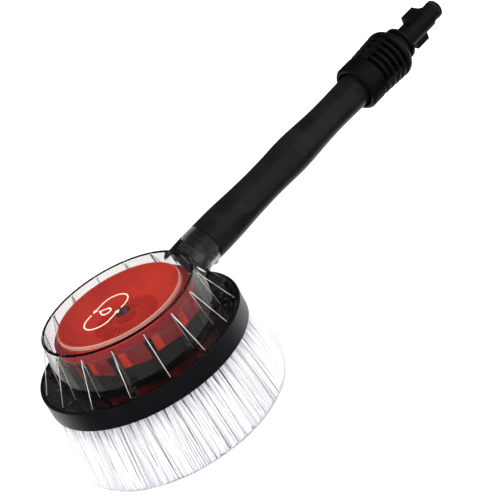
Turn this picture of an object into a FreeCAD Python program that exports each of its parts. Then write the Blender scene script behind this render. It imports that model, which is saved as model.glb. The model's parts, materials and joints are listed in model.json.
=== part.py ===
"""Water-driven rotary wash brush: a bristle head turned by a turbine through a planetary gear,
under a clear cover whose neck holds the handle and its bayonet plug.

Frame: millimetres, +Z up along the spin axis of the head, +X towards the handle, and the origin
at the centre of the plane of the bristle tips. The handle's parts are drawn upright along their
own Z, which counts from the spin axis, and their placement tips them onto the handle's line.
"""

import FreeCAD, Part

import math
import os
import re

import Sketcher

Vector = FreeCAD.Vector

SIZES = {
    # Bristle head
    "bristle_length": 52.0,
    "bristle_tip_radius": 85.0,
    "bristle_root_radius": 77.6,
    "bristle_hollow_root": 32.0,
    "bristle_hollow_tip": 30.0,
    "ring_radius": 80.0,
    "ring_wall": 1.8,
    "ring_height": 15.6,
    "ring_edge": 0.6,
    "plate_thick": 3.4,
    "plate_rim_wall": 3.2,
    "plate_rim_height": 12.6,
    "plate_hub_radius": 9.0,
    "plate_hub_height": 4.6,
    "plate_hole_radius": 2.5,
    "plate_hole_circle": 17.0,
    # Clear cover
    "cover_top": 102.0,
    "cover_top_radius": 60.0,
    "cover_base_radius": 65.0,
    "cover_wall": 2.2,
    "cover_edge": 0.8,
    "flange_radius": 77.4,
    "flange_top": 67.4,
    "flange_thick": 2.2,
    "gusset_top": 98.6,
    "gusset_foot": 76.4,
    "gusset_thick": 1.6,
    "gusset_turn": 6.0,
    "boss_radius": 3.6,
    "boss_height": 5.0,
    "screw_circle": 70.2,
    "screw_turn": 52.0,
    "screw_radius": 1.3,
    "screw_head_radius": 2.8,
    "screw_head_height": 1.8,
    "screw_length": 8.4,
    "print_height": 0.4,
    # Neck and nozzle, measured along the handle's line
    "axis_height": 83.06,
    "axis_tilt": 6.46,
    "neck_end": 83.5,
    "neck_radius": 15.9,
    "neck_straight": 72.0,
    "neck_bore": 13.1,
    "neck_floor": 62.0,
    "fairing_start": 53.0,
    "fairing_width": 25.0,
    "fairing_height": 17.0,
    "fairing_drop": 4.4,
    "nozzle_radius": 12.9,
    "nozzle_length": 7.2,
    "jet_radius": 2.2,
    "neck_screw_place": 81.2,
    # Fixed gear plate
    "gasket_thick": 0.4,
    "gasket_inner": 65.5,
    "gasket_outer": 66.5,
    "carrier_radius": 73.8,
    "carrier_thick": 3.0,
    "carrier_tube_radius": 7.0,
    "carrier_tube_top": 76.0,
    "carrier_bore": 4.6,
    "block_inner": 43.0,
    "block_outer": 60.0,
    "block_half_width": 10.0,
    "block_height": 5.8,
    "block_turn": 24.0,
    "drain_circle": 33.0,
    "drain_radius": 5.0,
    # Spindle, bushes and fasteners
    "spindle_radius": 3.0,
    "spindle_bottom": 44.8,
    "spindle_top": 93.0,
    "shoulder_radius": 4.5,
    "shoulder_bottom": 77.5,
    "shoulder_top": 79.0,
    "bush_bore": 3.05,
    "bush_flange": 6.5,
    "bush_flange_thick": 1.2,
    "bush_length": 8.0,
    "low_bush_length": 5.2,
    "brush_bush_radius": 5.0,
    "brush_bush_flange": 8.0,
    "washer_radius": 8.0,
    "washer_thick": 1.1,
    "nut_flats": 10.0,
    "nut_height": 4.0,
    "clip_radius": 6.0,
    "clip_thick": 1.2,
    # Turbine wheel
    "wheel_hub_radius": 7.5,
    "wheel_hub_top": 90.0,
    "wheel_floor": 83.8,
    "wheel_floor_thick": 1.8,
    "wheel_flat_radius": 26.0,
    "wheel_rim_radius": 46.5,
    "wheel_rim_top": 98.3,
    "wheel_rim_thick": 2.4,
    "wheel_bowl_curve": 22.9,
    "wheel_bowl_foot": 42.8,
    "wheel_bead_foot": 2.4,
    "wheel_bead_top": 1.3,
    "wheel_rim_groove": 0.5,
    "wheel_rim_bevel": 0.8,
    "wheel_skirt_radius": 54.0,
    "wheel_skirt_top": 92.0,
    "wheel_skirt_thick": 1.6,
    "wheel_bottom": 76.0,
    "blade_middle": 49.5,
    "blade_length": 21.0,
    "blade_thick": 1.8,
    "blade_turn": 76.0,
    "ray_inner": 12.0,
    "ray_outer": 25.0,
    "ray_width": 0.9,
    "ray_height": 1.0,
    # Gears
    "gear_module": 1.5,
    "gear_bottom": 57.2,
    "gear_width": 4.2,
    "gear_backlash": 0.2,
    "ring_gear_radius": 46.0,
    "ring_gear_height": 5.8,
    "pin_radius": 2.0,
    "pin_head_radius": 3.4,
    "pin_head_thick": 1.0,
    "planet_bore": 2.05,
    # Handle, measured along its own line
    "spigot_start": 69.7,
    "spigot_radius": 13.0,
    "spigot_hollow": 10.0,
    "spigot_hollow_end": 80.0,
    "seal_groove_radius": 11.1,
    "seal_groove_width": 2.1,
    "seal_place": 74.0,
    "seal_gap": 4.0,
    "grip_start": 84.0,
    "grip_end": 270.0,
    "stub_end": 294.0,
    "stub_radius": 12.4,
    "water_bore": 6.0,
    # Union nut
    "nut_start": 264.8,
    "nut_end": 317.0,
    "nut_lip_radius": 18.2,
    "nut_band_radius": 19.4,
    "nut_recess_radius": 16.6,
    "nut_recess_end": 273.0,
    "nut_thread_bore": 12.75,
    "nut_chamber_start": 300.0,
    "nut_chamber_end": 308.2,
    "nut_chamber_bore": 13.6,
    "nut_hole": 11.35,
    "nut_core": 16.9,
    "nut_gap_start": 281.5,
    "nut_gap": 3.6,
    "nut_pitch": 6.0,
    "nut_fin_first": 20.0,
    "nut_fin_last": 21.4,
    "nut_nose_radius": 16.3,
    "nut_web_width": 6.0,
    "nut_web_turn": 22.0,
    "knurl_start": 267.0,
    "knurl_end": 279.6,
    "knurl_width": 1.3,
    "knurl_height": 0.55,
    # Bayonet plug
    "plug_start": 295.2,
    "plug_stem": 11.0,
    "clip_groove_radius": 9.8,
    "clip_groove_start": 306.0,
    "clip_groove_width": 1.7,
    "snap_ring_radius": 12.9,
    "collar_radius": 14.6,
    "collar_start": 317.4,
    "collar_groove_start": 320.6,
    "collar_groove_end": 323.6,
    "collar_groove_radius": 12.6,
    "collar_end": 327.0,
    "plug_radius": 9.35,
    "nose_start": 362.0,
    "nose_end": 374.5,
    "nose_radius": 7.9,
    "nose_edge": 0.8,
    "plug_bore": 3.5,
    "lug_start": 339.5,
    "lug_end": 354.0,
    "lug_radius": 15.0,
    "lug_width": 8.0,
    "lug_turn": 11.0,
    "nose_groove_start": 369.9,
    "nose_groove_width": 2.1,
    "nose_groove_radius": 6.2,
}

SUN_TEETH = 12
PLANET_TEETH = 21
RING_TEETH = SUN_TEETH + 2 * PLANET_TEETH
PLANETS = 3
GUSSETS = 16
SCREWS = 4
BLOCKS = 4
BLADES = 12
RAYS = 40
JET_START = (66, 2, 90)
JET_WAY = (-0.84, 0.5, -0.22)
MARK_CENTRE = (-12, -4)
MARK_TURN = 15
MARK_HALF = 8.5
MARK_BEND = 11.5
MARK_STROKE = 1.0
ARROW_TAIL = -4.5
ARROW_NECK = -1.0
ARROW_HEAD = 3.5
ARROW_WING = 1.6
DROP_BELLY = 4.2
DROP_POINT = 7.6
PLATE_HOLES = 6
FINS = 5
WEBS = 4
KNURLS = 44
PRESSURE_ANGLE = math.radians(20)

# Where the grip swells and thins: distance from the spin axis, and radius there.
GRIP_STATIONS = [(84, 15.85), (106, 15.75), (127, 14.85), (148, 14.4), (168, 14.75), (184, 15.3),
                 (204, 14.55), (226, 13.6), (246, 13.8), (270, 14.4)]

doc = FreeCAD.newDocument("wash_brush")
sheet = doc.addObject("Spreadsheet::Sheet", "sizes")
parts = {}


def fill_sheet():
    for row, (name, value) in enumerate(SIZES.items(), 1):
        sheet.set(f"A{row}", name)
        sheet.set(f"B{row}", str(value))
        sheet.setAlias(f"B{row}", name)
    doc.recompute()


def formula(text):
    """The expression for a text such as "ring_radius - 2": each size gets the sheet's name."""
    return re.sub(r"[a-z_]+", lambda m: "sizes." + m[0] if m[0] in SIZES else m[0], str(text))


def value_of(text):
    return float(sheet.evalExpression(formula(text)))


def keep(obj, label):
    """Names a finished sub-part and lists it for the files."""
    obj.Label = label
    parts[label] = obj
    return obj


def new_body(name):
    return doc.addObject("PartDesign::Body", name)


def origin_part(body, role):
    return next(item for item in body.Origin.OriginFeatures if item.Role == role)


def arc_between(start, end, radius):
    """The arc from start to end; a positive radius bulges to the right of that way."""
    chord = end - start
    half = chord.Length / 2
    rise = abs(radius) - math.sqrt(radius * radius - half * half)
    side = Vector(chord.y, -chord.x, 0).normalize() * math.copysign(rise, radius)
    return Part.Arc(start, start + chord / 2 + side, end)


def outline(body, name, corners, role="XZ_Plane", lift="0", turn="0", shift="0"):
    """A closed sketch through the corners, each (across, up) as formulas of the sheet. A third
    entry makes the edge that leaves a corner an arc of that radius."""
    sketch = body.newObject("Sketcher::SketchObject", name)
    sketch.AttachmentSupport = (origin_part(body, role), "")
    sketch.MapMode = "FlatFace"
    spin = FreeCAD.Rotation(Vector(0, 0, 1), value_of(turn))
    base = spin.multVec(Vector(value_of(shift), 0, 0)) + Vector(0, 0, value_of(lift))
    sketch.AttachmentOffset = FreeCAD.Placement(base, spin)
    sketch.setExpression("AttachmentOffset.Base.z", formula(lift))
    points = [Vector(value_of(corner[0]), value_of(corner[1]), 0) for corner in corners]
    count = len(corners)
    ends = []
    for i, corner in enumerate(corners):
        start, end = points[i], points[(i + 1) % count]
        if len(corner) == 3:
            sketch.addGeometry(arc_between(start, end, value_of(corner[2])))
            ends.append((1, 2) if value_of(corner[2]) > 0 else (2, 1))
        else:
            sketch.addGeometry(Part.LineSegment(start, end))
            ends.append((1, 2))
    for i in range(count):
        after = (i + 1) % count
        sketch.addConstraint(Sketcher.Constraint("Coincident", i, ends[i][1], after, ends[after][0]))
    for i, corner in enumerate(corners):
        bound = [("DistanceX", corner[0]), ("DistanceY", corner[1])]
        for kind, text in bound:
            place = Sketcher.Constraint(kind, -1, 1, i, ends[i][0], value_of(text))
            number = sketch.addConstraint(place)
            sketch.setExpression(f"Constraints[{number}]", formula(text))
        if len(corner) == 3:
            size = Sketcher.Constraint("Radius", i, abs(value_of(corner[2])))
            number = sketch.addConstraint(size)
            sketch.setExpression(f"Constraints[{number}]", f"abs({formula(corner[2])})")
    return sketch


def revolve(body, name, corners, angle=360):
    sketch = outline(body, name + "_outline", corners)
    turned = body.newObject("PartDesign::Revolution", name)
    turned.Profile = sketch
    turned.ReferenceAxis = (sketch, ["V_Axis"])
    turned.Angle = angle
    return turned


def turned_body(label, corners, angle=360):
    """A body that is one turned outline."""
    body = new_body(label)
    revolve(body, label + "_turning", corners, angle)
    return keep(body, label)


def pad(body, name, corners, height, role="XY_Plane", lift="0", turn="0", shift="0", both=False):
    sketch = outline(body, name + "_outline", corners, role, lift, turn, shift)
    raised = body.newObject("PartDesign::Pad", name)
    raised.Profile = sketch
    raised.Length = value_of(height)
    raised.setExpression("Length", formula(height))
    raised.SideType = "Symmetric" if both else "One side"
    return raised


def around(body, name, feature, count):
    """Repeats a feature evenly about the body's Z axis."""
    pattern = body.newObject("PartDesign::PolarPattern", name)
    pattern.Originals = [feature]
    pattern.Axis = (origin_part(body, "Z_Axis"), [""])
    pattern.Angle = 360
    pattern.Occurrences = count
    body.Tip = pattern
    return pattern


def fillet_rims(body, name, radius, rims):
    """Rounds the circular edges of the body's tip that lie at (radius, height)."""
    doc.recompute()
    base = body.Tip
    wanted = [(value_of(r), value_of(z)) for r, z in rims]
    names = []
    for number, edge in enumerate(base.Shape.Edges, 1):
        curve = edge.Curve
        if isinstance(curve, Part.Circle):
            for r, z in wanted:
                if abs(curve.Radius - r) < 0.01 and abs(curve.Center.z - z) < 0.01:
                    names.append(f"Edge{number}")
    rounded = body.newObject("PartDesign::Fillet", name)
    rounded.Base = (base, names)
    rounded.Radius = value_of(radius)
    rounded.setExpression("Radius", formula(radius))
    return rounded


def rectangle(left, low, right, high):
    return [(left, low), (right, low), (right, high), (left, high)]


def bar(length, width):
    """A rectangle centred on its sketch's origin."""
    return rectangle(f"-({length}) / 2", f"-({width}) / 2", f"({length}) / 2", f"({width}) / 2")


def cylinder(name, radius, height, lift="0"):
    solid = doc.addObject("Part::Cylinder", name)
    solid.setExpression("Radius", formula(radius))
    solid.setExpression("Height", formula(height))
    solid.setExpression("Placement.Base.z", formula(lift))
    return solid


def torus(name, radius, cord, lift):
    solid = doc.addObject("Part::Torus", name)
    solid.setExpression("Radius1", formula(radius))
    solid.setExpression("Radius2", formula(cord))
    solid.setExpression("Placement.Base.z", formula(lift))
    return solid


def copies_around(name, solid, radius, count, turn="0"):
    """Copies of an upright solid on a circle about Z, as a list of linked objects."""
    copies = []
    for i in range(count):
        angle = math.radians(value_of(turn) + 360 * i / count)
        link = doc.addObject("Part::Feature", f"{name}_{i + 1}")
        doc.recompute()
        link.Shape = solid.Shape.copy()
        reach = value_of(radius)
        link.Placement = FreeCAD.Placement(
            solid.Placement.Base + Vector(reach * math.cos(angle), reach * math.sin(angle), 0),
            FreeCAD.Rotation())
        copies.append(link)
    return copies


def fuse(name, pieces):
    joined = doc.addObject("Part::MultiFuse", name)
    joined.Shapes = pieces
    return joined


def cut(name, base, tools):
    result = doc.addObject("Part::Cut", name)
    result.Base = base
    result.Tool = tools[0] if len(tools) == 1 else fuse(name + "_tools", tools)
    return result


def group(label, pieces):
    gathered = doc.addObject("Part::Compound", label)
    gathered.Links = pieces
    return keep(gathered, label)


def place_at(obj, base, rotation):
    """Places an object whose height was bound to the sheet."""
    obj.setExpression("Placement.Base.z", None)
    obj.Placement = FreeCAD.Placement(base, rotation)
    return obj


def handle_line(obj):
    """Tips an upright object onto the handle's line."""
    doc.recompute()
    obj.setExpression("Placement.Base.z", None)
    tip = FreeCAD.Rotation(Vector(0, 1, 0), 90 - value_of("axis_tilt"))
    raised = FreeCAD.Placement(Vector(0, 0, value_of("axis_height")), tip)
    obj.Placement = raised.multiply(obj.Placement)
    return obj


# ---- Gears

def involute(base_radius, radius):
    """The angle that an involute has turned through where it reaches a radius."""
    angle = math.acos(base_radius / radius)
    return math.tan(angle) - angle


def gear_wire(teeth, tip_radius, root_radius, half_tooth, turn):
    """Closed outline of a gear about Z. half_tooth is half a tooth's angle at the pitch circle."""
    module = value_of("gear_module")
    pitch_radius = module * teeth / 2
    base_radius = pitch_radius * math.cos(PRESSURE_ANGLE)
    at_pitch = involute(base_radius, pitch_radius)
    inner, outer = min(tip_radius, root_radius), max(tip_radius, root_radius)
    low = max(inner, base_radius * 1.001)
    steps = 6

    def at(radius, angle):
        return Vector(radius * math.cos(angle), radius * math.sin(angle), 0)

    edges = []
    for tooth in range(teeth):
        middle = turn + 2 * math.pi * tooth / teeth
        flank = []
        for step in range(steps + 1):
            radius = low + (outer - low) * step / steps
            flank.append((radius, half_tooth + at_pitch - involute(base_radius, radius)))
        rising = [at(r, middle - a) for r, a in flank]
        falling = [at(r, middle + a) for r, a in reversed(flank)]
        if inner < low:
            rising.insert(0, at(inner, middle - flank[0][1]))
            falling.append(at(inner, middle + flank[0][1]))
        for side in (rising, falling):
            curved = side[1:] if inner < low and side is rising else side
            curved = curved[:-1] if inner < low and side is falling else curved
            spline = Part.BSplineCurve()
            spline.interpolate(curved)
            if inner < low and side is rising:
                edges.append(Part.LineSegment(side[0], side[1]).toShape())
            edges.append(spline.toShape())
            if inner < low and side is falling:
                edges.append(Part.LineSegment(side[-2], side[-1]).toShape())
            if side is rising:
                edges.append(Part.Arc(rising[-1], at(outer, middle), falling[0]).toShape())
        valley = middle + math.pi / teeth
        following = at(inner, middle + 2 * math.pi / teeth - flank[0][1])
        edges.append(Part.Arc(falling[-1], at(inner, valley), following).toShape())
    return Part.Wire(edges)


def gear_solid(wire, hole, height):
    """A gear of one outline with a round hole, or a round disc with the outline as its hole."""
    outer, inner = (wire, hole) if hole.BoundBox.XLength < wire.BoundBox.XLength else (hole, wire)
    return Part.Face(outer).cut(Part.Face(inner)).Faces[0].extrude(Vector(0, 0, height))


def circle_wire(radius):
    return Part.Wire(Part.Circle(Vector(), Vector(0, 0, 1), radius).toShape())


def make_gears():
    module = value_of("gear_module")
    clearance = value_of("gear_backlash")
    width = value_of("gear_width")
    bottom = value_of("gear_bottom")
    centre = module * (SUN_TEETH + PLANET_TEETH) / 2

    def half_tooth(teeth, widened):
        return (math.pi / 2 + widened * clearance / module) / teeth

    def external(label, teeth, bore, turn, place):
        pitch = module * teeth / 2
        wire = gear_wire(teeth, pitch + 0.95 * module, pitch - 1.25 * module,
                         half_tooth(teeth, -0.5), turn)
        gear = doc.addObject("Part::Feature", label)
        gear.Shape = gear_solid(wire, circle_wire(bore), width)
        gear.Placement = FreeCAD.Placement(place, FreeCAD.Rotation())
        return keep(gear, label)

    external("sun_gear", SUN_TEETH, value_of("spindle_radius"), 0, Vector(0, 0, bottom))
    for number in range(PLANETS):
        direction = 2 * math.pi * number / PLANETS
        # The planet's valley faces the sun's tooth at the mesh point.
        sun_phase = direction * SUN_TEETH / (2 * math.pi)
        facing = direction + math.pi
        turn = facing + (math.pi / PLANET_TEETH) + sun_phase % 1 * 2 * math.pi / PLANET_TEETH
        place = Vector(centre * math.cos(direction), centre * math.sin(direction), bottom)
        external(f"planet_gear_{number + 1}", PLANET_TEETH, value_of("planet_bore"), turn, place)
    pitch = module * RING_TEETH / 2
    # The spaces of the ring are as wide as a planet's teeth and the backlash. A planet's tooth
    # points outwards where a space of the ring lies.
    outward = math.pi / PLANET_TEETH * (PLANET_TEETH + 1)
    teeth_round = outward / (2 * math.pi / PLANET_TEETH)
    turn = -(teeth_round % 1) * 2 * math.pi / RING_TEETH
    wire = gear_wire(RING_TEETH, pitch + 1.25 * module, pitch - 0.95 * module,
                     half_tooth(RING_TEETH, 0.5), turn)
    ring = doc.addObject("Part::Feature", "ring_gear")
    ring.Shape = gear_solid(wire, circle_wire(value_of("ring_gear_radius")),
                            value_of("ring_gear_height"))
    ring.Placement = FreeCAD.Placement(
        Vector(0, 0, value_of("bristle_length + plate_thick")), FreeCAD.Rotation())
    keep(ring, "ring_gear")


# ---- The turning head

def make_head():
    ring_top = "bristle_length + ring_height"
    ring = new_body("bumper_ring")
    revolve(ring, "bumper_ring_turning", rectangle(
        "ring_radius - ring_wall", "bristle_length", "ring_radius", ring_top))
    fillet_rims(ring, "bumper_ring_edges", "ring_edge",
                [("ring_radius", "bristle_length"), ("ring_radius", ring_top)])
    keep(ring, "bumper_ring")

    plate = new_body("brush_plate")
    rim = "ring_radius - ring_wall"
    revolve(plate, "brush_plate_turning", [
        ("brush_bush_radius", "bristle_length"),
        (rim, "bristle_length"),
        (rim, "bristle_length + plate_rim_height"),
        (f"{rim} - plate_rim_wall", "bristle_length + plate_rim_height"),
        (f"{rim} - plate_rim_wall", "bristle_length + plate_thick"),
        ("plate_hub_radius", "bristle_length + plate_thick"),
        ("plate_hub_radius", "bristle_length + plate_hub_height"),
        ("brush_bush_radius", "bristle_length + plate_hub_height"),
    ])
    hole = cylinder("plate_hole", "plate_hole_radius", "plate_thick + 2", "bristle_length - 1")
    holes = copies_around("plate_hole", hole, "plate_hole_circle", PLATE_HOLES)
    keep(cut("brush_plate_drilled", plate, holes), "brush_plate")

    turned_body("bristles", [
        ("bristle_hollow_root", "bristle_length"),
        ("bristle_hollow_tip", "0"),
        ("bristle_tip_radius", "0"),
        ("bristle_root_radius", "bristle_length"),
    ])
    flange_low = "bristle_length - bush_flange_thick"
    turned_body("brush_bush", [
        ("bush_bore", flange_low),
        ("brush_bush_flange", flange_low),
        ("brush_bush_flange", "bristle_length"),
        ("brush_bush_radius", "bristle_length"),
        ("brush_bush_radius", "bristle_length + plate_hub_height"),
        ("bush_bore", "bristle_length + plate_hub_height"),
    ])


# ---- Turbine and spindle

def make_turbine():
    wheel = new_body("turbine_wheel")
    floor_top = "wheel_floor + wheel_floor_thick"
    rim_outer = "wheel_rim_radius + wheel_rim_thick"
    skirt_low = "wheel_skirt_top - wheel_skirt_thick"
    revolve(wheel, "turbine_wheel_turning", [
        ("spindle_radius", "shoulder_top"),
        ("wheel_hub_radius", "shoulder_top"),
        ("wheel_hub_radius", "wheel_floor"),
        ("wheel_flat_radius", "wheel_floor", "wheel_bowl_curve + wheel_floor_thick"),
        ("wheel_bowl_foot", skirt_low),
        ("wheel_skirt_radius", skirt_low),
        ("wheel_skirt_radius", "wheel_skirt_top"),
        ("wheel_skirt_radius - 2", "wheel_skirt_top + 0.8"),
        (f"{rim_outer} - wheel_rim_bevel", "wheel_rim_top - wheel_bead_foot"),
        (rim_outer, "wheel_rim_top - wheel_bead_foot"),
        (rim_outer, "wheel_rim_top - wheel_bead_top"),
        (f"{rim_outer} - wheel_rim_groove", "wheel_rim_top - wheel_bead_top + 0.1"),
        (f"{rim_outer} - wheel_rim_groove", "wheel_rim_top - wheel_rim_bevel - 0.1"),
        (rim_outer, "wheel_rim_top - wheel_rim_bevel"),
        (f"{rim_outer} - wheel_rim_bevel", "wheel_rim_top"),
        ("wheel_rim_radius", "wheel_rim_top", "-wheel_bowl_curve"),
        ("wheel_flat_radius", floor_top),
        ("wheel_hub_radius", floor_top),
        ("wheel_hub_radius", "wheel_hub_top"),
        ("spindle_radius", "wheel_hub_top"),
    ])
    blade = pad(wheel, "blade", bar("blade_length", "blade_thick"),
                "wheel_skirt_top - wheel_skirt_thick - wheel_bottom + 0.4",
                lift="wheel_bottom", shift="blade_middle", turn="0")
    blade_sketch = blade.Profile[0]
    slant = FreeCAD.Rotation(Vector(0, 0, 1), value_of("blade_turn"))
    blade_sketch.AttachmentOffset = FreeCAD.Placement(blade_sketch.AttachmentOffset.Base, slant)
    around(wheel, "blades", blade, BLADES)
    ray = pad(wheel, "ray", bar("ray_outer - ray_inner", "ray_width"), "ray_height + 0.2",
              lift=f"{floor_top} - 0.2", shift="(ray_outer + ray_inner) / 2")
    around(wheel, "rays", ray, RAYS)
    keep(wheel, "turbine_wheel")

    turned_body("spindle", [
        ("0", "spindle_bottom"),
        ("spindle_radius", "spindle_bottom"),
        ("spindle_radius", "shoulder_bottom"),
        ("shoulder_radius", "shoulder_bottom"),
        ("shoulder_radius", "shoulder_top"),
        ("spindle_radius", "shoulder_top"),
        ("spindle_radius", "spindle_top"),
        ("0", "spindle_top"),
    ])
    turned_body("spindle_clip", rectangle(
        "spindle_radius", "wheel_hub_top", "clip_radius", "wheel_hub_top + clip_thick"))
    washer_low = "spindle_bottom + nut_height + 0.6"
    turned_body("thrust_washer", rectangle(
        "spindle_radius", washer_low, "washer_radius", f"{washer_low} + washer_thick"))

    hexagon = doc.addObject("Part::Prism", "nut_hexagon")
    hexagon.Polygon = 6
    hexagon.setExpression("Circumradius", formula("nut_flats / 2 / cos(30)"))
    hexagon.setExpression("Height", formula("nut_height"))
    hexagon.setExpression("Placement.Base.z", formula("spindle_bottom + 0.6"))
    hole = cylinder("nut_hole_tool", "spindle_radius", "nut_height + 4", "spindle_bottom - 1")
    keep(cut("spindle_nut", hexagon, [hole]), "spindle_nut")


# ---- Fixed gear plate and its fittings

def make_carrier():
    top = "flange_top - flange_thick - gasket_thick"
    low = f"{top} - carrier_thick"
    base = new_body("gear_plate_body")
    revolve(base, "gear_plate_turning", [
        ("carrier_bore", low),
        ("carrier_radius", low),
        ("carrier_radius", top),
        ("carrier_tube_radius", top),
        ("carrier_tube_radius", "carrier_tube_top"),
        ("carrier_bore", "carrier_tube_top"),
    ])
    block = pad(base, "block", rectangle(
        "block_inner", "-block_half_width", "block_outer", "block_half_width"),
        "block_height + 0.2", lift=f"{top} - 0.2", turn="block_turn")
    around(base, "blocks", block, BLOCKS)
    gear_centre = value_of("gear_module") * (SUN_TEETH + PLANET_TEETH) / 2
    tools = []
    pin_hole = cylinder("pin_hole", "pin_radius", "carrier_thick + 2", f"{low} - 1")
    tools += copies_around("pin_hole", pin_hole, str(gear_centre), PLANETS)
    drain = cylinder("drain", "drain_radius", "carrier_thick + 2", f"{low} - 1")
    tools += copies_around("drain", drain, "drain_circle", PLANETS, "60")
    screw_hole = cylinder("screw_hole", "screw_radius + 0.2", "carrier_thick + 2", f"{low} - 1")
    tools += copies_around("screw_hole", screw_hole, "screw_circle", SCREWS, "screw_turn")
    keep(cut("gear_plate_drilled", base, tools), "gear_plate")

    turned_body("cover_gasket", rectangle(
        "gasket_inner", top, "gasket_outer", f"{top} + gasket_thick"))

    turned_body("upper_bush", [
        ("bush_bore", "carrier_tube_top - bush_length"),
        ("carrier_bore", "carrier_tube_top - bush_length"),
        ("carrier_bore", "carrier_tube_top"),
        ("bush_flange", "carrier_tube_top"),
        ("bush_flange", "carrier_tube_top + bush_flange_thick"),
        ("bush_bore", "carrier_tube_top + bush_flange_thick"),
    ])
    turned_body("lower_bush", rectangle(
        "bush_bore", low, "carrier_bore", f"{low} + low_bush_length"))

    shank = cylinder("pin_shank", "pin_radius", f"{top} - gear_bottom + 0.3", "gear_bottom - 0.3")
    head = cylinder("pin_head", "pin_head_radius", "pin_head_thick",
                    "gear_bottom - 0.3 - pin_head_thick")
    pin = fuse("planet_pin", [shank, head])
    group("planet_pins", copies_around("planet_pin", pin, str(gear_centre), PLANETS))

    shaft = cylinder("screw_shaft", "screw_radius", "screw_length", low)
    cap = cylinder("screw_cap", "screw_head_radius", "screw_head_height",
                   f"{low} - screw_head_height")
    screw = fuse("cover_screw", [shaft, cap])
    group("cover_screws", copies_around("cover_screw", screw, "screw_circle", SCREWS, "screw_turn"))


# ---- Clear cover

def make_cover():
    flange_low = "flange_top - flange_thick"
    mass = new_body("cover_mass")
    revolve(mass, "cover_turning", [
        ("0", flange_low),
        ("flange_radius", flange_low),
        ("flange_radius", "flange_top"),
        ("cover_base_radius", "flange_top"),
        ("cover_top_radius", "cover_top"),
        ("0", "cover_top"),
    ])
    fillet_rims(mass, "cover_top_edge", "cover_edge", [("cover_top_radius", "cover_top")])
    gusset = pad(mass, "gusset", [
        ("cover_top_radius - 1", "gusset_top"),
        ("cover_top_radius - 1", "flange_top - 0.5"),
        ("gusset_foot", "flange_top - 0.5"),
        ("gusset_foot", "flange_top + 0.5"),
        ("cover_top_radius + 0.6", "gusset_top"),
    ], "gusset_thick", role="XZ_Plane", both=True)
    around(mass, "gussets", gusset, GUSSETS)
    mass.Placement = FreeCAD.Placement(
        Vector(), FreeCAD.Rotation(Vector(0, 0, 1), value_of("gusset_turn")))

    boss = cylinder("boss", "boss_radius", "boss_height", "flange_top - 0.2")
    bosses = copies_around("boss", boss, "screw_circle", SCREWS, "screw_turn")

    root = doc.addObject("Part::Ellipse", "fairing_root")
    root.setExpression("MajorRadius", formula("fairing_width"))
    root.setExpression("MinorRadius", formula("fairing_height"))
    root.Placement = FreeCAD.Placement(
        Vector(value_of("fairing_drop"), 0, value_of("fairing_start")),
        FreeCAD.Rotation(Vector(0, 0, 1), 90))
    end = doc.addObject("Part::Circle", "fairing_end")
    end.setExpression("Radius", formula("neck_radius"))
    end.setExpression("Placement.Base.z", formula("neck_straight"))
    doc.recompute()
    fairing = doc.addObject("Part::Loft", "fairing")
    fairing.Sections = [handle_line(root), handle_line(end)]
    fairing.Solid = True
    fairing.Ruled = False
    above = cylinder("above_top", "cover_top_radius - 5", "20", "cover_top")
    fairing = cut("fairing_trimmed", fairing, [above])
    tube = handle_line(cylinder("neck_tube", "neck_radius", "neck_end - neck_straight + 0.2",
                                "neck_straight - 0.2"))
    whole = fuse("cover_whole", [mass, fairing, tube] + bosses)

    cavity = new_body("cover_cavity")
    revolve(cavity, "cover_cavity_turning", [
        ("0", f"{flange_low} - 1"),
        ("cover_base_radius - cover_wall", f"{flange_low} - 1"),
        ("cover_base_radius - cover_wall", "flange_top"),
        ("cover_top_radius - cover_wall", "cover_top - cover_wall"),
        ("0", "cover_top - cover_wall"),
    ])
    below = cylinder("below_flange", "flange_radius + 5", "30", f"{flange_low} - 30")
    bore = handle_line(cylinder("neck_bore_tool", "neck_bore", "neck_end - neck_floor + 2",
                                "neck_floor"))
    jet = place_at(cylinder("jet_tool", "jet_radius", "20"), Vector(*JET_START),
                   FreeCAD.Rotation(Vector(0, 0, 1), Vector(*JET_WAY)))
    pilot = cylinder("pilot", "screw_radius", "boss_height + 2", f"{flange_low} - 1")
    pilots = copies_around("pilot", pilot, "screw_circle", SCREWS, "screw_turn")
    keep(cut("clear_cover_hollowed", whole,
             [cavity, below, bore, jet, neck_screw_tool("cover")] + pilots), "clear_cover")


def neck_screw_tool(name):
    """The neck screw's shaft, across the handle's line from below."""
    return handle_line(across_line(f"neck_screw_shaft_{name}", "screw_radius", "8"))


def across_line(name, radius, length, start="spigot_hollow + 1"):
    """A cylinder that points down, square to the handle's line, at the neck screw's place."""
    return place_at(cylinder(name, radius, length),
                    Vector(value_of(start), 0, value_of("neck_screw_place")),
                    FreeCAD.Rotation(Vector(0, 1, 0), 90))


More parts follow.
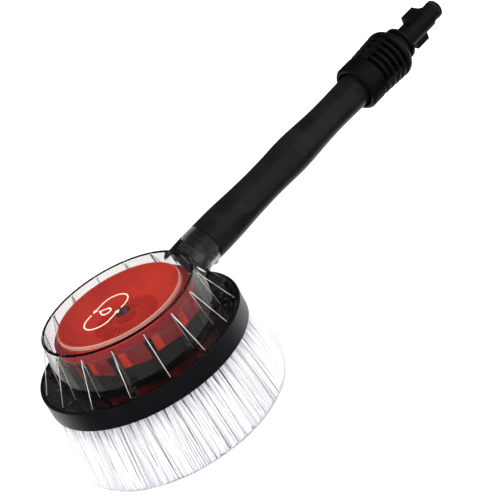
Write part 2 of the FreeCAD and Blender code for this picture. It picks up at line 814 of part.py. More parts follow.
def make_print():
    """The mark on the cover's top: two long arrows that turn round the outline of a drop."""
    height = value_of("print_height")
    turned = FreeCAD.Rotation(Vector(0, 0, 1), MARK_TURN)
    middle = Vector(*MARK_CENTRE, value_of("cover_top"))
    outer = MARK_BEND + MARK_STROKE / 2
    inner = MARK_BEND - MARK_STROKE / 2

    def thin(name, edges, half_turn=0):
        flat = doc.addObject("Part::Feature", name)
        flat.Shape = Part.Face(Part.Wire(edges)).extrude(Vector(0, 0, height))
        way = turned * FreeCAD.Rotation(Vector(0, 0, 1), half_turn)
        flat.Placement = FreeCAD.Placement(middle, way)
        return flat

    def line(start, end):
        return Part.LineSegment(Vector(*start), Vector(*end)).toShape()

    def end_bend(radius, side):
        """The half circle round the mark's left end, from its top if side is 1."""
        return Part.Arc(Vector(-MARK_HALF, side * radius, 0), Vector(-MARK_HALF - radius, 0, 0),
                        Vector(-MARK_HALF, -side * radius, 0)).toShape()

    def arrow(name, half_turn):
        head = [
            (ARROW_NECK, -outer),
            (ARROW_NECK, -outer - ARROW_WING),
            (ARROW_NECK + ARROW_HEAD, -MARK_BEND),
            (ARROW_NECK, -inner + ARROW_WING),
            (ARROW_NECK, -inner),
        ]
        return thin(name, [
            line((ARROW_TAIL, outer), (-MARK_HALF, outer)),
            end_bend(outer, 1),
            line((-MARK_HALF, -outer), head[0]),
            *[line(head[i], head[i + 1]) for i in range(len(head) - 1)],
            line(head[-1], (-MARK_HALF, -inner)),
            end_bend(inner, -1),
            line((-MARK_HALF, inner), (ARROW_TAIL, inner)),
            line((ARROW_TAIL, inner), (ARROW_TAIL, outer)),
        ], half_turn)

    def drop(name, belly, point):
        """A drop's outline filled in: a round belly that runs up to a point."""
        touch = math.acos(belly / point)
        across, up = belly * math.sin(touch), belly * math.cos(touch)
        return thin(name, [
            line((0, point), (-across, up)),
            Part.Arc(Vector(-across, up, 0), Vector(0, -belly, 0), Vector(across, up, 0)).toShape(),
            line((across, up), (0, point)),
        ])

    drop_line = cut("drop_line", drop("drop", DROP_BELLY, DROP_POINT),
                    [drop("drop_middle", DROP_BELLY - MARK_STROKE, DROP_POINT - 2 * MARK_STROKE)])
    group("cover_print", [arrow("arrow_1", 0), arrow("arrow_2", 180), drop_line])


# ---- Neck fittings and handle

def make_nozzle():
    disc = cylinder("nozzle_disc", "nozzle_radius", "nozzle_length", "neck_floor")
    well = cylinder("nozzle_well", "spigot_hollow", "nozzle_length", "neck_floor + 4")
    jet = place_at(cylinder("nozzle_jet", "jet_radius", "8"),
                   Vector(0, 2, value_of("neck_floor - 1")), FreeCAD.Rotation())
    nozzle = cut("jet_nozzle_drilled", disc, [well, jet])
    keep(handle_line(nozzle), "jet_nozzle")


def make_handle():
    grip = doc.addObject("Part::Feature", "grip_solid")
    stations = [Vector(radius, 0, place) for place, radius in GRIP_STATIONS]
    swell = Part.BSplineCurve()
    swell.interpolate(stations)
    corners = [stations[-1]]
    for radius, place in (
            ("stub_radius", "grip_end"), ("stub_radius", "stub_end"), ("water_bore", "stub_end"),
            ("water_bore", "spigot_hollow_end"), ("spigot_hollow", "spigot_hollow_end"),
            ("spigot_hollow", "spigot_start"), ("spigot_radius", "spigot_start")):
        corners.append(Vector(value_of(radius), 0, value_of(place)))
    for number in range(2):
        low = value_of("seal_place - seal_groove_width / 2") + number * value_of("seal_gap")
        high = low + value_of("seal_groove_width")
        for radius, place in (("spigot_radius", low), ("seal_groove_radius", low),
                              ("seal_groove_radius", high), ("spigot_radius", high)):
            corners.append(Vector(value_of(radius), 0, place))
    corners.append(Vector(value_of("spigot_radius"), 0, value_of("grip_start")))
    corners.append(stations[0])
    edges = [swell.toShape()]
    for start, end in zip(corners, corners[1:]):
        edges.append(Part.LineSegment(start, end).toShape())
    profile = Part.Face(Part.Wire(edges))
    grip.Shape = profile.revolve(Vector(), Vector(0, 0, 1), 360)
    handle_line(grip)

    keep(cut("handle_drilled", grip, [neck_screw_tool("handle")]), "handle_tube")


def make_neck_fittings():
    rings = []
    for number in range(2):
        ring = torus(f"neck_o_ring_{number + 1}", "seal_groove_radius + 1", "0.97",
                     f"seal_place + {number} * seal_gap")
        rings.append(handle_line(ring))
    group("neck_o_rings", rings)

    head = across_line("neck_screw_head", "screw_head_radius", "screw_head_height", "neck_radius")
    shaft = across_line("neck_screw_pin", "screw_radius", "neck_radius - spigot_hollow - 1")
    keep(fuse("neck_screw", [handle_line(head), handle_line(shaft)]), "neck_screw")

    filter_low = "stub_end - 9"
    cup = new_body("inlet_filter")
    revolve(cup, "inlet_filter_turning", [
        ("0", filter_low),
        ("3.6", filter_low),
        ("5.9", "stub_end - 1"),
        ("5.9", "stub_end - 0.05"),
        ("5.0", "stub_end - 0.05"),
        ("2.9", f"{filter_low} + 0.8"),
        ("0", f"{filter_low} + 0.8"),
    ])
    keep(handle_line(cup), "inlet_filter")
    seal = turned_body("union_seal", rectangle(
        "water_bore + 0.3", "stub_end", "plug_stem", "plug_start"))
    handle_line(seal)


# ---- Union nut and bayonet plug

def make_union():
    nut = new_body("union_nut")
    corners = [
        ("nut_recess_radius", "nut_start"),
        ("nut_lip_radius", "nut_start"),
        ("nut_band_radius", "nut_start + 1.4"),
        ("nut_band_radius", "nut_gap_start"),
        ("nut_core", "nut_gap_start"),
    ]
    for number in range(FINS):
        gap_end = f"nut_gap_start + nut_gap + {number} * nut_pitch"
        radius = f"nut_fin_first + (nut_fin_last - nut_fin_first) * {number / (FINS - 1)}"
        corners += [("nut_core", gap_end), (radius, gap_end)]
        if number < FINS - 1:
            fin_end = f"nut_gap_start + {number + 1} * nut_pitch"
            corners += [(radius, fin_end), ("nut_core", fin_end)]
    corners += [
        ("nut_fin_last", "nut_end - 6.2", "6.6"),
        ("nut_nose_radius", "nut_end"),
        ("nut_hole", "nut_end"),
        ("nut_hole", "nut_chamber_end"),
        ("nut_chamber_bore", "nut_chamber_end"),
        ("nut_chamber_bore", "nut_chamber_start"),
        ("nut_thread_bore", "nut_chamber_start"),
        ("nut_thread_bore", "nut_recess_end"),
        ("nut_recess_radius", "nut_recess_end"),
    ]
    revolve(nut, "union_nut_turning", corners)
    web = pad(nut, "web", rectangle(
        "nut_core - 0.5", "-nut_web_width / 2", "nut_fin_first + 0.2", "nut_web_width / 2"),
        "nut_pitch * 4 + nut_gap + 0.4", lift="nut_gap_start - 0.2", turn="nut_web_turn")
    around(nut, "webs", web, WEBS)
    rib = pad(nut, "knurl", rectangle(
        "nut_band_radius - 0.5", "-knurl_width / 2",
        "nut_band_radius + knurl_height", "knurl_width / 2"),
        "knurl_end - knurl_start", lift="knurl_start")
    around(nut, "knurls", rib, KNURLS)
    keep(handle_line(nut), "union_nut")

    plug = new_body("bayonet_plug")
    groove_end = "clip_groove_start + clip_groove_width"
    nose_groove_end = "nose_groove_start + nose_groove_width"
    revolve(plug, "bayonet_plug_turning", [
        ("plug_bore", "plug_start"),
        ("plug_stem", "plug_start"),
        ("plug_stem", "clip_groove_start"),
        ("clip_groove_radius", "clip_groove_start"),
        ("clip_groove_radius", groove_end),
        ("plug_stem", groove_end),
        ("plug_stem", "collar_start"),
        ("collar_radius - 0.6", "collar_start"),
        ("collar_radius", "collar_start + 0.6"),
        ("collar_radius", "collar_groove_start"),
        ("collar_groove_radius", "collar_groove_start"),
        ("collar_groove_radius", "collar_groove_end"),
        ("collar_radius", "collar_groove_end"),
        ("collar_radius", "collar_end - 0.8"),
        ("collar_radius - 0.8", "collar_end"),
        ("plug_radius", "collar_end"),
        ("plug_radius", "nose_start"),
        ("nose_radius", "nose_start"),
        ("nose_radius", "nose_groove_start"),
        ("nose_groove_radius", "nose_groove_start"),
        ("nose_groove_radius", nose_groove_end),
        ("nose_radius", nose_groove_end),
        ("nose_radius", "nose_end - nose_edge"),
        ("nose_radius - nose_edge", "nose_end"),
        ("plug_bore", "nose_end"),
    ])
    lug = pad(plug, "lug", rectangle(
        "plug_radius - 1.5", "-lug_width / 2", "lug_radius", "lug_width / 2"),
        "lug_end - lug_start", lift="lug_start", turn="lug_turn")
    around(plug, "lugs", lug, 2)
    keep(handle_line(plug), "bayonet_plug")

    ring = turned_body("snap_ring", rectangle(
        "clip_groove_radius", "clip_groove_start", "snap_ring_radius", groove_end), 330)
    handle_line(ring)
    seal = torus("nose_o_ring", "nose_groove_radius + 0.97", "0.95",
                 "nose_groove_start + nose_groove_width / 2")
    keep(handle_line(seal), "nose_o_ring")


def check_and_write():
    doc.recompute()
    for obj in doc.Objects:
        if "Invalid" in obj.State or "Error" in obj.State:
            raise RuntimeError(f"{obj.Name} failed: {obj.State}")
    for label, obj in parts.items():
        shape = obj.Shape
        if shape.isNull() or not shape.isValid():
            raise RuntimeError(f"{label} has no valid shape")
    os.makedirs("parts", exist_ok=True)
    for label, obj in parts.items():
        obj.Shape.exportStep(f"parts/{label}.step")
        box = obj.Shape.BoundBox
        print(f"{label}: {len(obj.Shape.Solids)} solid(s), {obj.Shape.Volume:.0f} mm3, "
              f"x {box.XMin:.1f}..{box.XMax:.1f} y {box.YMin:.1f}..{box.YMax:.1f} "
              f"z {box.ZMin:.1f}..{box.ZMax:.1f}")


fill_sheet()
make_head()
make_turbine()
make_gears()
make_carrier()
make_cover()
make_print()
make_nozzle()
make_handle()
make_neck_fittings()
make_union()
check_and_write()
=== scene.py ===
import bpy
import json
import math
import numpy as np
from mathutils import Matrix, Vector


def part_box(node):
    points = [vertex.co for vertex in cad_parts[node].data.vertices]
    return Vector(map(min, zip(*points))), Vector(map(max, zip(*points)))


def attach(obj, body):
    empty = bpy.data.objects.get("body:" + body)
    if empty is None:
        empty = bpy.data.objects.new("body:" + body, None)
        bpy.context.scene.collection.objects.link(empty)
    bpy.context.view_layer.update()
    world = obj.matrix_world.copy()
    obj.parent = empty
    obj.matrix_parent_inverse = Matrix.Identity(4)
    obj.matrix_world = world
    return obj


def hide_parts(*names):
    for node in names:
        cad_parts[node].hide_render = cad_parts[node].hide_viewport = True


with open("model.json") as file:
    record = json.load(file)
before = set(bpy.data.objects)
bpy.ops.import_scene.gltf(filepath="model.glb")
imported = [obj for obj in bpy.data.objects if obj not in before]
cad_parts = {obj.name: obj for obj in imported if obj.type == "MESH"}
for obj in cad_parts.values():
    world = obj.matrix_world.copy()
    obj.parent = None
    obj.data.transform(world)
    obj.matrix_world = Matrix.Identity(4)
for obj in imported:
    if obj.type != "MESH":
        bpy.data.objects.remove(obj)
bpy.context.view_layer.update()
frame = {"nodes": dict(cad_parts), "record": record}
nodes = frame["nodes"]
MM = 0.001
rng = np.random.default_rng(20)

# The handle's line: it starts on the spin axis and rises a little towards the nut.
LINE_START = Vector((0, 0, 83.06)) * MM
LINE_TILT = math.radians(6.46)
ALONG = Vector((math.cos(LINE_TILT), 0, math.sin(LINE_TILT)))
UPWARDS = Vector((-math.sin(LINE_TILT), 0, math.cos(LINE_TILT)))
ACROSS = Vector((0, 1, 0))

# The grip's radius at places along the line, in mm.
GRIP = [(84, 15.82), (106, 15.72), (127, 14.83), (148, 14.38), (168, 14.73), (184, 15.27),
        (204, 14.52), (226, 13.58), (246, 13.78), (270, 14.38)]
COUNT = 72  # tufts in the outer row


# ---- Materials

def tree(name):
    mat = bpy.data.materials.new(name)
    mat.use_nodes = True
    nt = mat.node_tree
    return mat, nt, nt.nodes["Principled BSDF"]


def noise(nt, scale, detail=3.0, stretch=(1, 1, 1)):
    """A noise value in the object's own frame, with the pattern drawn out along an axis."""
    place = nt.nodes.new("ShaderNodeTexCoord")
    shaping = nt.nodes.new("ShaderNodeMapping")
    shaping.inputs["Scale"].default_value = stretch
    nt.links.new(place.outputs["Object"], shaping.inputs["Vector"])
    made = nt.nodes.new("ShaderNodeTexNoise")
    made.inputs["Scale"].default_value = scale
    made.inputs["Detail"].default_value = detail
    nt.links.new(shaping.outputs["Vector"], made.inputs["Vector"])
    return made.outputs["Fac"]


def calc(nt, operation, value, against):
    """A maths node on a value and either a number or another value."""
    made = nt.nodes.new("ShaderNodeMath")
    made.operation = operation
    nt.links.new(value, made.inputs[0])
    if isinstance(against, (int, float)):
        made.inputs[1].default_value = against
    else:
        nt.links.new(against, made.inputs[1])
    return made.outputs["Value"]


def ramp(nt, value, stops):
    made = nt.nodes.new("ShaderNodeValToRGB")
    elements = made.color_ramp.elements
    for number, (place, colour) in enumerate(stops):
        element = elements[number] if number < 2 else elements.new(place)
        element.position = place
        element.color = (*colour, 1)
    nt.links.new(value, made.inputs["Fac"])
    return made.outputs["Color"]


def spread(nt, value, low, high):
    made = nt.nodes.new("ShaderNodeMapRange")
    made.inputs["From Min"].default_value = 0.3
    made.inputs["From Max"].default_value = 0.7
    made.inputs["To Min"].default_value = low
    made.inputs["To Max"].default_value = high
    nt.links.new(value, made.inputs["Value"])
    return made.outputs["Result"]


def grain(nt, shader, value, strength, depth):
    made = nt.nodes.new("ShaderNodeBump")
    made.inputs["Strength"].default_value = strength
    made.inputs["Distance"].default_value = depth
    nt.links.new(value, made.inputs["Height"])
    nt.links.new(made.outputs["Normal"], shader.inputs["Normal"])


def moulded(name, dark, light, rough, specular=0.5, scale=60, fine=900, bump=0.12, metal=0,
            stretch=(1, 1, 1)):
    """Moulded plastic, rubber or metal: a mottled colour, uneven gloss and a fine grain."""
    mat, nt, shader = tree(name)
    cloud = noise(nt, scale, 4, stretch)
    nt.links.new(ramp(nt, cloud, [(0.3, dark), (0.7, light)]), shader.inputs["Base Color"])
    nt.links.new(spread(nt, cloud, rough[0], rough[1]), shader.inputs["Roughness"])
    grain(nt, shader, noise(nt, fine, 2, stretch), bump, 0.0002)
    shader.inputs["Specular IOR Level"].default_value = specular
    shader.inputs["Metallic"].default_value = metal
    return mat


def clear_plastic():
    """Clear moulded styrene: it bends what is behind it, and lamps reach what it shuts in."""
    mat, nt, shader = tree("clear_plastic")
    shader.inputs["Transmission Weight"].default_value = 1
    shader.inputs["IOR"].default_value = 1.47
    cloud = noise(nt, 35, 2)
    nt.links.new(ramp(nt, cloud, [(0.3, (0.90, 0.875, 0.87)), (0.7, (0.95, 0.935, 0.93))]),
                 shader.inputs["Base Color"])
    nt.links.new(spread(nt, cloud, 0.0, 0.03), shader.inputs["Roughness"])
    grain(nt, shader, noise(nt, 45, 1), 0.10, 0.0004)
    output = nt.nodes["Material Output"]
    paths = nt.nodes.new("ShaderNodeLightPath")
    open_side = nt.nodes.new("ShaderNodeBsdfTransparent")
    open_side.inputs["Color"].default_value = (0.93, 0.92, 0.92, 1)
    mixed = nt.nodes.new("ShaderNodeMixShader")
    nt.links.new(paths.outputs["Is Shadow Ray"], mixed.inputs["Fac"])
    nt.links.new(shader.outputs["BSDF"], mixed.inputs[1])
    nt.links.new(open_side.outputs["BSDF"], mixed.inputs[2])
    nt.links.new(mixed.outputs["Shader"], output.inputs["Surface"])
    return mat


def mixed_colour(nt, share, first, second):
    made = nt.nodes.new("ShaderNodeMix")
    made.data_type = "RGBA"
    nt.links.new(share, made.inputs["Factor"])
    nt.links.new(first, made.inputs[6])
    nt.links.new(second, made.inputs[7])
    return made.outputs[2]


# The turbine wheel, in metres: where the bowl ends, and the rim's two outer beads with the groove between,
# which carry a painted highlight.
BOWL_EDGE_R = 0.0495
BEAD_INNER_R = 0.04801
BEAD_FOOT_Z = 0.09585
GROOVE_Z = 0.09725
GROOVE_HALF = 0.0002


def red_plastic():
    """Translucent red: an orange-red bowl, paddles in a darker crimson as painted shade, and a light
    pinkish painted highlight on the rim's two beads.
    """
    mat, nt, shader = tree("red_plastic")
    place = nt.nodes.new("ShaderNodeTexCoord")
    parts = nt.nodes.new("ShaderNodeSeparateXYZ")
    nt.links.new(place.outputs["Object"], parts.inputs["Vector"])
    x_squared = calc(nt, "MULTIPLY", parts.outputs["X"], parts.outputs["X"])
    y_squared = calc(nt, "MULTIPLY", parts.outputs["Y"], parts.outputs["Y"])
    radius = calc(nt, "POWER", calc(nt, "ADD", x_squared, y_squared), 0.5)
    cloud = noise(nt, 28, 3)
    bowl = ramp(nt, cloud, [(0.3, (0.64, 0.022, 0.009)), (0.7, (0.78, 0.040, 0.013))])
    # painted shade: the paddles outside the bowl get a darker crimson copy of the same red
    paddle_painted_shade = ramp(nt, cloud, [(0.3, (0.20, 0.004, 0.007)), (0.7, (0.33, 0.010, 0.010))])
    # painted highlight: a light pinkish cream on the rim's two outer beads stands for light caught along
    # the rim
    rim_highlight_colour = ramp(nt, cloud, [(0.3, (0.80, 0.44, 0.36)), (0.7, (0.88, 0.54, 0.45))])
    outside = calc(nt, "GREATER_THAN", radius, BOWL_EDGE_R)
    body = mixed_colour(nt, outside, bowl, paddle_painted_shade)
    # where the painted highlight goes: above the beads' foot, outside their inner radius, and off the
    # groove
    high = calc(nt, "GREATER_THAN", parts.outputs["Z"], BEAD_FOOT_Z)
    outer = calc(nt, "GREATER_THAN", radius, BEAD_INNER_R)
    from_groove = calc(nt, "ABSOLUTE", calc(nt, "SUBTRACT", parts.outputs["Z"], GROOVE_Z), 0)
    off_groove = calc(nt, "GREATER_THAN", from_groove, GROOVE_HALF)
    rim_highlight_mask = calc(nt, "MULTIPLY", calc(nt, "MULTIPLY", high, outer), off_groove)
    nt.links.new(mixed_colour(nt, rim_highlight_mask, body, rim_highlight_colour), shader.inputs["Base Color"])
    nt.links.new(spread(nt, cloud, 0.22, 0.34), shader.inputs["Roughness"])
    grain(nt, shader, noise(nt, 500, 2), 0.08, 0.0002)
    shader.inputs["Subsurface Weight"].default_value = 0.2
    shader.inputs["Subsurface Radius"].default_value = (1.0, 0.12, 0.06)
    shader.inputs["Subsurface Scale"].default_value = 0.003
    shader.inputs["Specular IOR Level"].default_value = 0.3
    shader.inputs["Coat Weight"].default_value = 0.15
    shader.inputs["Coat Roughness"].default_value = 0.12
    return mat


def bristle_plastic():
    """Clear white nylon filament, with streaks along each tuft, painted shade at the roots and a little
    darker towards the tips.
    """
    mat, nt, shader = tree("white_bristle")
    streak = noise(nt, 260, 2, (1, 1, 0.05))
    place = nt.nodes.new("ShaderNodeTexCoord")
    parts = nt.nodes.new("ShaderNodeSeparateXYZ")
    nt.links.new(place.outputs["Object"], parts.inputs["Vector"])
    height = nt.nodes.new("ShaderNodeMapRange")
    height.inputs["From Min"].default_value = 0.0
    height.inputs["From Max"].default_value = 0.052
    nt.links.new(parts.outputs["Z"], height.inputs["Value"])
    # painted shade: the colour darkens towards the roots, where the tufts shade each other, and a little
    # towards the tips
    shade = ramp(nt, height.outputs["Result"], [
        (0.0, (0.84, 0.84, 0.89)), (0.12, (0.94, 0.94, 0.965)), (0.7, (0.96, 0.96, 0.97)),
        (1.0, (0.78, 0.78, 0.82))])
    tint = ramp(nt, streak, [(0.3, (0.96, 0.96, 0.97)), (0.62, (1, 1, 1))])
    both = nt.nodes.new("ShaderNodeMix")
    both.data_type = "RGBA"
    both.blend_type = "MULTIPLY"
    both.inputs["Factor"].default_value = 1
    nt.links.new(shade, both.inputs[6])
    nt.links.new(tint, both.inputs[7])
    nt.links.new(both.outputs[2], shader.inputs["Base Color"])
    nt.links.new(spread(nt, streak, 0.35, 0.5), shader.inputs["Roughness"])
    return mat


def edge_painted_highlight():
    """Painted highlight for the rounded edges of the clear moulding: a milky pinkish white stands for the
    light they gather.
    """
    mat, nt, shader = tree("edge_painted_highlight")
    cloud = noise(nt, 120, 3)
    nt.links.new(ramp(nt, cloud, [(0.3, (0.74, 0.67, 0.68)), (0.7, (0.97, 0.93, 0.93))]),
                 shader.inputs["Base Color"])
    nt.links.new(spread(nt, cloud, 0.15, 0.3), shader.inputs["Roughness"])
    nt.links.new(spread(nt, cloud, 0.5, 0.95), shader.inputs["Alpha"])
    return mat


FINISH = {
    "clear_plastic": clear_plastic(),
    "red_plastic": red_plastic(),
    "white_bristle": bristle_plastic(),
    "print_cream": moulded("print_cream", (0.84, 0.62, 0.50), (0.96, 0.76, 0.64), (0.35, 0.5),
                           bump=0.05),
    "black_plastic": moulded("black_plastic", (0.003, 0.003, 0.0035), (0.007, 0.0065, 0.0075),
                             (0.3, 0.45), 0.22),
    "ring_plastic": moulded("ring_plastic", (0.002, 0.0027, 0.0033), (0.0035, 0.0045, 0.0057),
                            (0.28, 0.4), 0.5),
    "grip_plastic": moulded("grip_plastic", (0.004, 0.0045, 0.0055), (0.008, 0.0087, 0.010),
                            (0.26, 0.4), 0.30, bump=0.2),
    "nut_plastic": moulded("nut_plastic", (0.002, 0.002, 0.0028), (0.0045, 0.0045, 0.006),
                           (0.32, 0.46), 0.16),
    "grey_plastic": moulded("grey_plastic", (0.016, 0.016, 0.02), (0.03, 0.03, 0.036), (0.35, 0.5)),
    "white_acetal": moulded("white_acetal", (0.78, 0.77, 0.74), (0.88, 0.88, 0.85), (0.4, 0.5)),
    "black_rubber": moulded("black_rubber", (0.010, 0.010, 0.011), (0.02, 0.02, 0.021),
                            (0.5, 0.7), 0.4),
    "steel": moulded("steel", (0.5, 0.5, 0.51), (0.66, 0.66, 0.67), (0.22, 0.4), metal=1,
                     stretch=(1, 1, 12)),
}
SLOT_OF = {s["node"]: s["material_slot"] for s in frame["record"]["subparts"]}
for name, piece in nodes.items():
    for held in piece.material_slots:
        held.material = FINISH[SLOT_OF[name]]


# ---- Mesh helpers

def piece_of(name, verts, faces, slot, body, stands_for, smooth=True):
    mesh = bpy.data.meshes.new(name)
    mesh.from_pydata([tuple(v) for v in verts], [], [tuple(f) for f in faces])
    mesh.validate()
    mesh.polygons.foreach_set("use_smooth", [smooth] * len(mesh.polygons))
    made = bpy.data.objects.new(name, mesh)
    bpy.context.scene.collection.objects.link(made)
    made.data.materials.append(FINISH[slot])
    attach(made, body)
    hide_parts(*stands_for)
    return made


def on_line(place, up, across):
    """A point of the handle's own frame, in mm, as a point of the row frame."""
    return LINE_START + (ALONG * place + UPWARDS * up + ACROSS * across) * MM


# ---- Bristles: tufts of single filaments, each one fanned out and cut a little unevenly

ROOT_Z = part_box("brush_plate")[0].z
TIP_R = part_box("bristles")[1].x - 0.4 * MM


def filament_rows():
    """(root circle's radius, tufts, filaments in each, tuft's radius, filament's radius), in mm."""
    rows = [(75.2, COUNT, 56, 2.45, 0.26), (70.4, COUNT, 44, 2.5, 0.30)]
    radius = 63.0
    while radius > 33:
        rows.append((radius, int(radius), 16, 2.1, 0.42))
        radius -= 6.4
    return rows


def filaments(rows, sides=3, steps=4):
    """Vertices and faces of all the filaments of some rows."""
    all_verts, all_faces = [], []
    start = 0
    for row, (circle, tufts, number, tuft_r, fine_r) in enumerate(rows):
        total = tufts * number
        tuft = np.repeat(np.arange(tufts), number)
        lean = rng.normal(0, 0.012, tufts)[tuft]
        angle = 2 * math.pi * (tuft + 0.5 * (row % 2)) / tufts
        spin = rng.uniform(0, 2 * math.pi, total)
        away = np.sqrt(rng.uniform(0, 1, total))
        off_r = away * np.cos(spin)
        off_t = away * np.sin(spin)
        fan = 1 + 0.055 * circle / 75
        root_r = circle + off_r * tuft_r
        root_a = angle + off_t * tuft_r / circle
        gap = 2 * math.pi * circle / tufts / 2
        tip_r = circle * (fan + 0.055 * (circle / 75) ** 2) + off_r * 3.0 + rng.normal(0, 0.35, total)
        tip_a = angle + lean + (off_t * gap * 1.5 + rng.normal(0, 0.5, total)) / circle
        tip_r = np.minimum(tip_r, TIP_R / MM - fine_r)
        tip_z = np.abs(rng.normal(0, 0.9, total)) + rng.uniform(0, 1.4, tufts)[tuft] * 0.8
        tip_z = np.where(rng.uniform(0, 1, total) < 0.05, tip_z + rng.uniform(0, 4, total), tip_z)
        share = np.linspace(0, 1, steps + 1)[None, :]
        bend = share ** 0.8
        radius = root_r[:, None] * (1 - bend) + tip_r[:, None] * bend
        turn = root_a[:, None] * (1 - bend) + tip_a[:, None] * bend
        level = (ROOT_Z / MM) * (1 - share) + tip_z[:, None] * share
        line = np.stack([radius * np.cos(turn), radius * np.sin(turn), level], -1)
        corner = 2 * math.pi * np.arange(sides) / sides
        ring = np.stack([np.cos(corner), np.sin(corner), 0 * corner], -1) * fine_r
        verts = line[:, :, None, :] + ring[None, None, :, :]
        all_verts.append(verts.reshape(-1, 3) * MM)
        per = (steps + 1) * sides
        base = start + per * np.arange(total)[:, None, None]
        step = sides * np.arange(steps)[None, :, None]
        side = np.arange(sides)[None, None, :]
        following = (side + 1) % sides
        quads = np.stack([base + step + side, base + step + sides + side,
                          base + step + sides + following, base + step + following], -1)
        all_faces.extend(quads.reshape(-1, 4).tolist())
        tips = base[:, 0, :] + steps * sides + np.arange(sides)[None, ::-1]
        all_faces.extend(tips.tolist())
        start += per * total
    return np.concatenate(all_verts), all_faces


rows = filament_rows()
verts, faces = filaments(rows[:2])
piece_of("bristle_tufts_outer", verts, faces, "white_bristle", "brush_head", ["bristles"], False)
verts, faces = filaments(rows[2:])
piece_of("bristle_tufts_inner", verts, faces, "white_bristle", "brush_head", ["bristles"], False)


# ---- Clear cover: thin rods with a painted highlight along the rounded outer edge and root of each gusset

EDGE_R = 0.24  # mm
GUSSETS = 16
FIRST_GUSSET = 6.0  # degrees
NECK_HALF = 20  # degrees to each side of the neck, where the gussets are hidden in it
# (radius, height) in mm at the foot and at the top of a gusset's outer edge, and of its root
GUSSET_EDGES = [((76.0, 68.3), (60.9, 98.2)), ((65.0, 68.3), (60.6, 97.6))]


def rods(lines, radius, sides=6):
    """Thin round rods, each between two points given in mm."""
    verts, faces = [], []
    for start, end in lines:
        way = (end - start).normalized()
        one = way.orthogonal().normalized()
        two = way.cross(one)
        base = len(verts)
        for point in (start, end):
            for k in range(sides):
                a = 2 * math.pi * k / sides
                verts.append((point + (one * math.cos(a) + two * math.sin(a)) * radius) * MM)
        for k in range(sides):
            n = (k + 1) % sides
            faces.append((base + k, base + n, base + sides + n, base + sides + k))
        faces.append(tuple(base + k for k in reversed(range(sides))))
        faces.append(tuple(base + sides + k for k in range(sides)))
    return verts, faces


def gusset_lines():
    """The sloping outer edge, and the root on the cover's wall, of every gusset but the neck's."""
    made = []
    for number in range(GUSSETS):
        degrees = FIRST_GUSSET + 360 / GUSSETS * number
        if abs((degrees + 180) % 360 - 180) < NECK_HALF:
            continue
        angle = math.radians(degrees)
        for ends in GUSSET_EDGES:
            made.append([Vector((r * math.cos(angle), r * math.sin(angle), z)) for r, z in ends])
    return made


verts, faces = rods(gusset_lines(), EDGE_R)
edges = piece_of("gusset_edge_highlights", verts, faces, "clear_plastic", "housing", [])
# painted highlight: the rods get a milky white in place of the clear plastic
edges.data.materials[0] = edge_painted_highlight()


# ---- Handle: the turned tube with a long shallow flute on each side

FLUTE_RISE = math.radians(16)
FLUTE_HALF = math.radians(20)
FLUTE_FROM, FLUTE_TO = 116.0, 262.0
FLUTE_DEPTH = 0.8


def smooth_through(stations, at):
    """Values of a smooth curve through the stations, at the given places."""
    x = np.array([s[0] for s in stations], float)
    y = np.array([s[1] for s in stations], float)
    h = np.diff(x)
    slope = np.diff(y) / h
    count = len(x)
    matrix = np.eye(count)
    right = np.zeros(count)
    for i in range(1, count - 1):
        matrix[i, i - 1:i + 2] = (h[i - 1], 2 * (h[i - 1] + h[i]), h[i])
        right[i] = 6 * (slope[i] - slope[i - 1])
    bend = np.linalg.solve(matrix, right)
    i = np.clip(np.searchsorted(x, at) - 1, 0, count - 2)
    t = at - x[i]
    return (y[i] + t * (slope[i] - h[i] * (2 * bend[i] + bend[i + 1]) / 6)
            + t ** 2 * bend[i] / 2 + t ** 3 * (bend[i + 1] - bend[i]) / (6 * h[i]))


# The handle's own sizes in mm, the same as the CAD tube's
SPIGOT_START, SPIGOT_R, SPIGOT_HOLLOW, HOLLOW_END = 69.7, 13, 10, 80
SEALS, SEAL_HALF, SEAL_R = (74, 78), 1.05, 11.1
STUB_END, STUB_R, WATER_R = 294, 12.4, 6


def handle_profile():
    """(place, radius, fluted) along the outside and back through the bore."""
    places = np.concatenate([np.linspace(84.35, 112, 15), np.linspace(113, 265, 153),
                             np.linspace(266, 269.7, 4)])
    outside = [(p, r, True) for p, r in zip(places, smooth_through(GRIP, places))]
    edge = [(84, outside[0][1] - 0.9, False), (84.1, outside[0][1] - 0.3, False)]
    spigot = [(SPIGOT_START, SPIGOT_HOLLOW, False), (SPIGOT_START, SPIGOT_R - 0.3, False),
              (SPIGOT_START + 0.3, SPIGOT_R, False)]
    for middle in SEALS:
        spigot += [(middle - SEAL_HALF, SPIGOT_R, False), (middle - SEAL_HALF, SEAL_R, False),
                   (middle + SEAL_HALF, SEAL_R, False), (middle + SEAL_HALF, SPIGOT_R, False)]
    spigot.append((84, SPIGOT_R, False))
    last = outside[-1][1]
    far = [(270, last - 0.4, False), (270, STUB_R, False), (STUB_END, STUB_R, False),
           (STUB_END, WATER_R, False), (HOLLOW_END, WATER_R, False),
           (HOLLOW_END, SPIGOT_HOLLOW, False)]
    return spigot + edge + outside + far


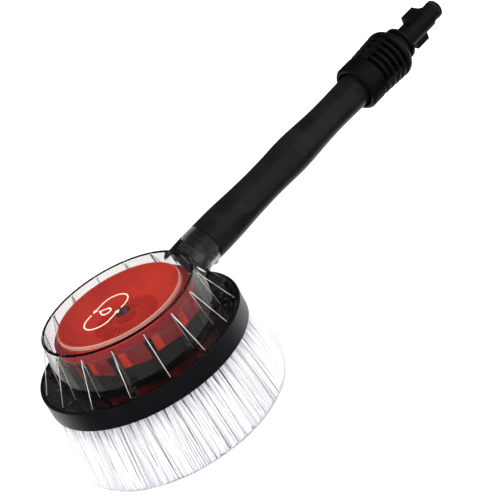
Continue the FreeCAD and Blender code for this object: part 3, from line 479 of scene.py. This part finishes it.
def handle_mesh():
    around = 240
    turn = 2 * math.pi * np.arange(around) / around  # 0 points up, a quarter turn to +Y
    verts, faces = [], []
    profile = handle_profile()
    for place, radius, fluted in profile:
        reach = np.full(around, radius)
        if fluted:
            for side in (1, -1):
                centre = side * (math.pi / 2 - FLUTE_RISE)
                apart = (turn - centre + math.pi) % (2 * math.pi) - math.pi
                end = min(place - FLUTE_FROM, FLUTE_TO - place) / 6
                wide = FLUTE_HALF * math.sqrt(max(0, 1 - (1 - min(end, 1)) ** 2)) if end > 0 else 0
                if wide > 0.01:
                    share = np.clip(1 - (apart / wide) ** 2, 0, 1)
                    reach = reach - FLUTE_DEPTH * min(1, end) * share
        for a, r in zip(turn, reach):
            verts.append(on_line(place, r * math.cos(a), r * math.sin(a)))
    count = len(profile)
    for i in range(count):
        following = (i + 1) % count
        for j in range(around):
            k = (j + 1) % around
            faces.append((i * around + j, i * around + k, following * around + k, following * around + j))
    return verts, faces


verts, faces = handle_mesh()
handle = piece_of("fluted_handle", verts, faces, "grip_plastic", "housing", ["handle_tube"])
handle.data.set_sharp_from_angle(angle=math.radians(22))


# ---- Floor, lights and camera

def plane(name, size, z, mat):
    mesh = bpy.data.meshes.new(name)
    mesh.from_pydata([(-size, -size, z), (size, -size, z), (size, size, z), (-size, size, z)],
                     [], [(0, 1, 2, 3)])
    made = bpy.data.objects.new(name, mesh)
    bpy.context.scene.collection.objects.link(made)
    made.data.materials.append(mat)
    return made


floor = plane("floor", 12, -0.3 * MM, moulded("floor_paint", (0.93, 0.93, 0.93), (0.95, 0.95, 0.95),
                                              (0.8, 0.9), 0.1, scale=2, fine=40, bump=0.02))
floor.visible_glossy = False

BEHIND = Vector((0.42, 0.80, 0)).normalized()  # away from the photographer
DOWN = Vector((0, 0, -1))
BESIDE = Vector((0.75, -0.55, 0.37)).normalized()  # a soft window to the right of the photographer


def studio():
    """White all round for what is lit or seen through, and nearly dark for gloss but for two soft
    patches: one behind the object, for the edges that turn away, and one beside it."""
    world = bpy.data.worlds.new("studio")
    bpy.context.scene.world = world
    world.use_nodes = True
    nt = world.node_tree
    back = nt.nodes["Background"]
    place = nt.nodes.new("ShaderNodeTexCoord")

    def soft_step(towards, edge, middle, low, high):
        """A share that rises softly from low to high as a direction nears the given one."""
        dot = nt.nodes.new("ShaderNodeVectorMath")
        dot.operation = "DOT_PRODUCT"
        dot.inputs[1].default_value = tuple(towards)
        nt.links.new(place.outputs["Generated"], dot.inputs[0])
        made = nt.nodes.new("ShaderNodeMapRange")
        made.interpolation_type = "SMOOTHSTEP"
        made.inputs["From Min"].default_value = edge
        made.inputs["From Max"].default_value = middle
        made.inputs["To Min"].default_value = low
        made.inputs["To Max"].default_value = high
        nt.links.new(dot.outputs["Value"], made.inputs["Value"])
        return made.outputs["Result"]

    table = calc(nt, "MULTIPLY", soft_step(BEHIND, 0.0, 0.6, 0, 1), soft_step(DOWN, 0.05, 0.35, 0, 1))
    patches = calc(nt, "MAXIMUM", table, soft_step(BESIDE, 0.70, 0.98, 0.06, 0.7))
    paths = nt.nodes.new("ShaderNodeLightPath")
    bounced = calc(nt, "MINIMUM", paths.outputs["Glossy Depth"], 1)
    # light that turns inside one wall of the clear cover comes from the white room round it
    entered = calc(nt, "GREATER_THAN", paths.outputs["Transmission Depth"], 0.5)
    one_wall = calc(nt, "LESS_THAN", paths.outputs["Transmission Depth"], 2.5)
    inside = nt.nodes.new("ShaderNodeMix")
    inside.inputs["B"].default_value = 0.12
    nt.links.new(calc(nt, "MULTIPLY", entered, one_wall), inside.inputs["Factor"])
    nt.links.new(patches, inside.inputs["A"])
    level = nt.nodes.new("ShaderNodeMix")
    level.inputs["A"].default_value = 1.07
    nt.links.new(bounced, level.inputs["Factor"])
    nt.links.new(inside.outputs["Result"], level.inputs["B"])
    nt.links.new(level.outputs["Result"], back.inputs["Strength"])
    back.inputs["Color"].default_value = (1, 1, 1, 1)
    world.cycles.sampling_method = "NONE"


def softbox(name, place, target, width, height, watts):
    data = bpy.data.lights.new(name, "AREA")
    data.shape = "RECTANGLE"
    data.size, data.size_y = width, height
    data.energy = watts
    made = bpy.data.objects.new(name, data)
    bpy.context.scene.collection.objects.link(made)
    made.location = place
    made.rotation_mode = "QUATERNION"
    made.rotation_quaternion = (Vector(target) - Vector(place)).to_track_quat("-Z", "Y")
    made.visible_glossy = False
    made.visible_transmission = False
    return made


studio()
AIM = (0.02, 0, 0.07)
softbox("top_softbox", (-0.2, 0.25, 1.5), AIM, 1.4, 1.4, 12)
softbox("front_fill", (-0.75, -1.35, 0.35), AIM, 1.0, 0.8, 5)
softbox("left_softbox", (-1.3, -0.3, 0.9), AIM, 0.3, 1.0, 5)
softbox("right_softbox", (1.1, -0.9, 0.7), AIM, 0.25, 0.9, 4)

camera_data = bpy.data.cameras.new("camera")
camera = bpy.data.objects.new("camera", camera_data)
bpy.context.scene.collection.objects.link(camera)
camera_data.sensor_width = 36
camera_data.lens = 83.546
camera_data.clip_start = 0.01
right = Vector((0.69200152, -0.58654904, -0.42082553))
up = Vector((0.58598657, 0.11594749, 0.80198249))
back = Vector((-0.42160839, -0.80157121, 0.4239457))
camera.matrix_world = (Matrix.Translation((-0.258418, -0.706012, 0.437289))
                       @ Matrix((right, up, back)).transposed().to_4x4())
scene = bpy.context.scene
scene.camera = camera
scene.view_settings.view_transform = "Standard"
